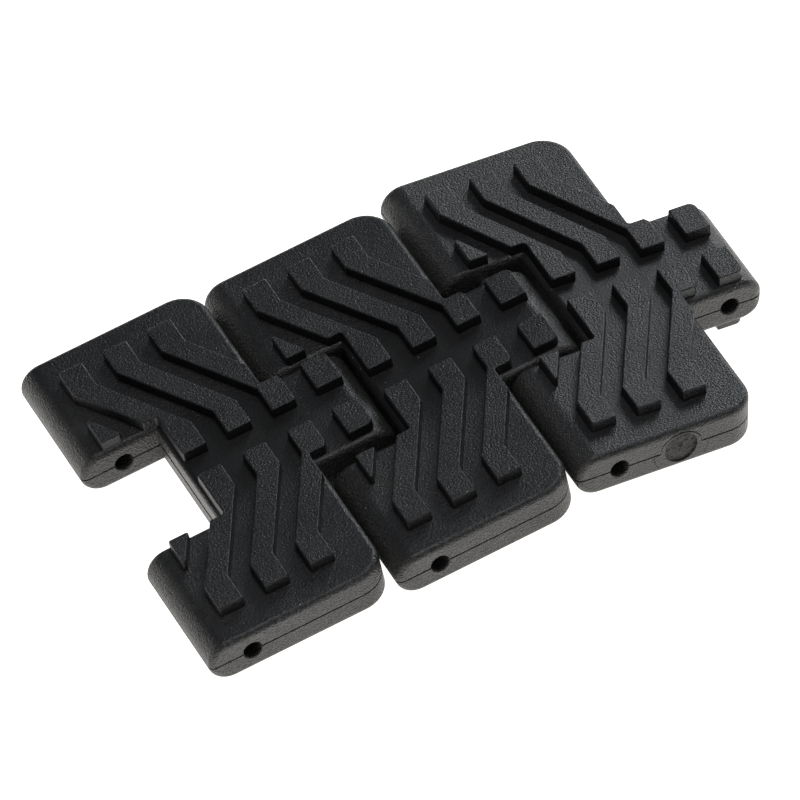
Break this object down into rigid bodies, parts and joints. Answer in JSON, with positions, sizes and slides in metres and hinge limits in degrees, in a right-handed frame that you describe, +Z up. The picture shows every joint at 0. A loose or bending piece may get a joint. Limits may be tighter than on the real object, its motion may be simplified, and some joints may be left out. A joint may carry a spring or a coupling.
{
  "type": "tire traction mat",
  "caption": "Articulated tire traction mat: a short strip of moulded links with chevron treads on both faces, hinged on cross pins, with an open notch and an open tongue at its ends.",
  "frame": {"origin": "under the middle of the strip's box, on the surface it stands on", "axes": "+X along the strip from the open notch to the open tongue, +Y across it, +Z up"},
  "size_m": [0.2112, 0.1374, 0.0306],
  "materials": {
    "moulding": "fine leather grain, dull",
    "pin_steel": "drawn bar"
  },
  "bodies": {
    "link_1": {"link_1": "moulding"},
    "hinge_pin_1": {"hinge_pin_1": "pin_steel"},
    "link_2": {"link_2": "moulding"},
    "hinge_pin_2": {"hinge_pin_2": "pin_steel"},
    "link_3": {"link_3": "moulding"}
  },
  "joints": [
    {"name": "side_play_1", "type": "slide", "parent": "link_1", "child": "hinge_pin_1", "axis": [0, 1, 0], "range_m": [0, 0.0047]},
    {"name": "fold_1", "type": "hinge", "parent": "hinge_pin_1", "child": "link_2", "pos_m": [-0.02951, -0.00119, 0.01518], "axis": [0, -1, 0], "range_deg": [-100, 100]},
    {"name": "side_play_2", "type": "slide", "parent": "link_2", "child": "hinge_pin_2", "axis": [0, 1, 0], "range_m": [-0.0044, 0.0003]},
    {"name": "fold_2", "type": "hinge", "parent": "hinge_pin_2", "child": "link_3", "pos_m": [0.03236, 0.00085, 0.01909], "axis": [0, -1, 0], "range_deg": [-89.4, 110.6]}
  ]
}
